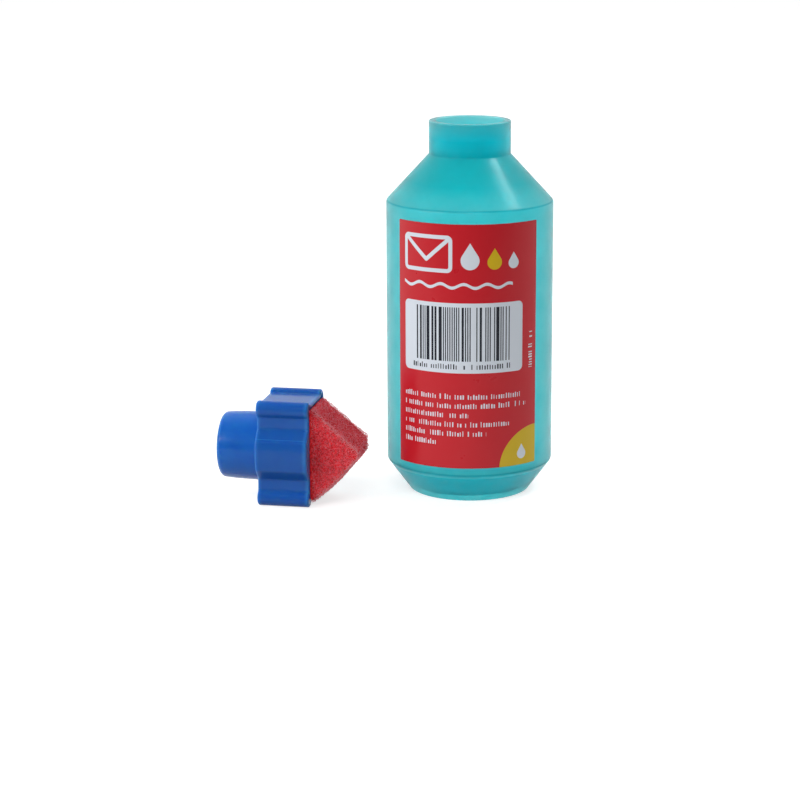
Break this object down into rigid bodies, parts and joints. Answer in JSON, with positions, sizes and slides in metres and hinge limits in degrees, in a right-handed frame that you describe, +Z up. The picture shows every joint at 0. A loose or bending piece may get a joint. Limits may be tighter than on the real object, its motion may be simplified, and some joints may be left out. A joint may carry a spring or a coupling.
{
  "type": "envelope moistener",
  "caption": "Squeeze bottle with a push-in sponge-tipped applicator lying beside it, for wetting the gummed flaps of envelopes.",
  "frame": {"origin": "centre of the bottle's foot, on the surface that it stands on", "axes": "+Z up the bottle's axis; -Y towards the labelled front; the applicator lies on the -X side, its plug pointing away from the bottle and 10 degrees back"},
  "size_m": [0.0734, 0.0395, 0.082],
  "materials": {
    "bottle_plastic": "translucent soft polyethylene, satin",
    "label_film": "printed gloss film",
    "holder_plastic": "moulded polyethylene, semi-gloss",
    "disc_plastic": "natural polyethylene",
    "sponge_foam": "open-cell foam"
  },
  "bodies": {
    "bottle": {"bottle": "bottle_plastic", "front_label": "label_film"},
    "applicator": {"applicator_holder": "holder_plastic", "flow_disc": "disc_plastic", "sponge_tip": "sponge_foam"}
  },
  "joints": [
    {"name": "applicator_lift", "type": "slide", "parent": "bottle", "child": "applicator", "axis": [0, 0, 1], "range_m": [0, 0.105]}
  ]
}
